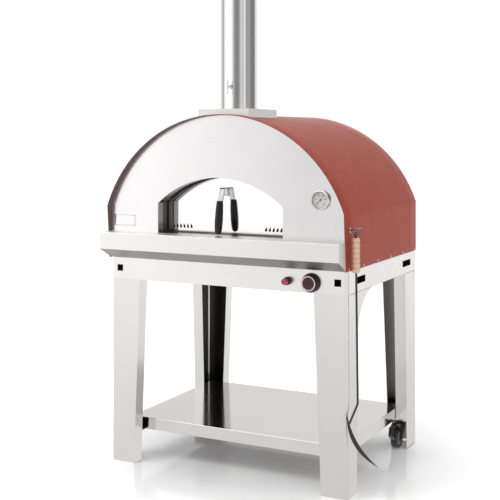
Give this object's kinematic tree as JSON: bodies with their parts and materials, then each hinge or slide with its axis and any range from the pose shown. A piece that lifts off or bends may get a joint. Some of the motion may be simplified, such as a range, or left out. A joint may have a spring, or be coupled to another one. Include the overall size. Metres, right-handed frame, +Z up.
{
  "type": "freestanding pizza oven",
  "caption": "Domed outdoor oven with arched mouth, lift-off door, flue with damper and rain cap, gas burner, on a sheet-steel stand with shelf, rear castors and a hanging rake.",
  "frame": {"origin": "on the floor below the centre of the stand's footprint", "axes": "+X to the right seen from the front, +Y from the mouth to the back, +Z up"},
  "size_m": [1.197, 0.936, 2.105],
  "materials": {
    "stainless": "satin sheet",
    "polished": "mirror polished",
    "dark_steel": "heat-darkened",
    "hood_paint": "satin",
    "firebrick": "rough",
    "insulation": "matt fibre",
    "black_bakelite": "gloss",
    "chromed": "polished",
    "zinc_bolt": "bright",
    "black_plastic": "moulded",
    "grey_plastic": "moulded",
    "castor_rubber": "matt",
    "black_steel": "satin",
    "dial_white": "matt",
    "needle_black": "matt",
    "clear_glass": "clear",
    "brass": "cast",
    "knob_brown": "gloss",
    "button_red": "gloss",
    "wood": "turned, oiled",
    "rake_steel": "blackened"
  },
  "bodies": {
    "oven": {"front_apron": "stainless", "left_side_rail": "stainless", "right_side_rail": "stainless", "rear_rail": "stainless", "front_left_leg": "stainless", "front_right_leg": "stainless", "rear_left_leg": "stainless", "rear_right_leg": "stainless", "storage_shelf": "stainless", "stand_bolts": "zinc_bolt", "left_castor_plate": "black_steel", "right_castor_plate": "black_steel", "base_tray": "stainless", "base_insulation": "insulation", "floor_tile_1": "firebrick", "floor_tile_2": "firebrick", "floor_tile_3": "firebrick", "floor_tile_4": "firebrick", "chamber_vault": "dark_steel", "chamber_rear_wall": "dark_steel", "insulation_blanket": "insulation", "throat_liner": "dark_steel", "front_plate": "stainless", "hood_cover": "hood_paint", "back_panel": "stainless", "front_ledge": "stainless", "name_plate": "polished", "flue_collar": "polished", "smoke_duct": "stainless", "flue_pipe": "polished", "rain_cap": "polished", "gauge_case": "chromed", "gauge_dial": "dial_white", "gauge_glass": "clear_glass", "gas_valve": "brass", "gas_pipe": "zinc_bolt", "burner_tube": "stainless", "igniter_body": "chromed", "rake_hook": "chromed"},
    "door": {"door_panel": "polished", "door_core": "dark_steel", "door_bracket": "chromed", "door_grip": "black_bakelite"},
    "valve_stem": {"valve_stem": "chromed"},
    "knob": {"gas_knob": "knob_brown"},
    "igniter_button": {"igniter_button": "button_red"},
    "damper": {"damper_plate": "stainless", "damper_spindle": "chromed"},
    "needle": {"gauge_needle": "needle_black"},
    "rake_ring": {"rake_ring": "chromed"},
    "rake": {"rake_handle": "wood", "rake_rod": "rake_steel"},
    "left_swivel": {"left_castor_fork": "black_steel"},
    "left_wheel": {"left_castor_hub": "grey_plastic", "left_castor_tread": "castor_rubber"},
    "left_brake": {"left_castor_brake": "black_steel"},
    "right_swivel": {"right_castor_fork": "black_steel"},
    "right_wheel": {"right_castor_hub": "grey_plastic", "right_castor_tread": "castor_rubber"},
    "right_brake": {"right_castor_brake": "black_steel"}
  },
  "joints": [
    {"name": "door_lift_off", "type": "slide", "parent": "oven", "child": "door", "axis": [0, -1, 0], "range_m": [0, 0.35]},
    {"name": "valve_push", "type": "slide", "parent": "oven", "child": "valve_stem", "axis": [0, 1, 0], "range_m": [0, 0.004], "stiffness_N_per_m": 700},
    {"name": "knob_turn", "type": "hinge", "parent": "valve_stem", "child": "knob", "pos_m": [0.385, -0.43, 0.81], "axis": [0, -1, 0], "range_deg": [0, 210]},
    {"name": "igniter_press", "type": "slide", "parent": "oven", "child": "igniter_button", "axis": [0, 1, 0], "range_m": [0, 0.004], "stiffness_N_per_m": 500},
    {"name": "damper_turn", "type": "hinge", "parent": "oven", "child": "damper", "pos_m": [0, -0.273, 1.571], "axis": [0, 1, 0], "range_deg": [0, 90]},
    {"name": "needle_turn", "type": "hinge", "parent": "oven", "child": "needle", "pos_m": [0.429, -0.4255, 1.128], "axis": [0, 1, 0], "range_deg": [0, 270]},
    {"name": "rake_lift_off", "type": "slide", "parent": "oven", "child": "rake_ring", "axis": [0.9848, 0, 0.1736], "range_m": [0, 0.05]},
    {"name": "rake_swing", "type": "hinge", "parent": "rake_ring", "child": "rake", "pos_m": [0.56, -0.396, 1.003], "axis": [1, 0, 0], "range_deg": [-20, 20]},
    {"name": "left_castor_swivel", "type": "hinge", "parent": "oven", "child": "left_swivel", "pos_m": [-0.486, 0.335, 0.1], "axis": [0, 0, 1], "range_deg": [-20, 90]},
    {"name": "left_wheel_roll", "type": "hinge", "parent": "left_swivel", "child": "left_wheel", "pos_m": [-0.486, 0.295, 0.042], "axis": [1, 0, 0], "continuous": true},
    {"name": "left_brake_press", "type": "hinge", "parent": "left_swivel", "child": "left_brake", "pos_m": [-0.486, 0.281, 0.094], "axis": [1, 0, 0], "range_deg": [-2, 10]},
    {"name": "right_castor_swivel", "type": "hinge", "parent": "oven", "child": "right_swivel", "pos_m": [0.486, 0.335, 0.1], "axis": [0, 0, 1], "range_deg": [-90, 20]},
    {"name": "right_wheel_roll", "type": "hinge", "parent": "right_swivel", "child": "right_wheel", "pos_m": [0.486, 0.295, 0.042], "axis": [1, 0, 0], "continuous": true},
    {"name": "right_brake_press", "type": "hinge", "parent": "right_swivel", "child": "right_brake", "pos_m": [0.486, 0.281, 0.094], "axis": [1, 0, 0], "range_deg": [-2, 10]}
  ]
}
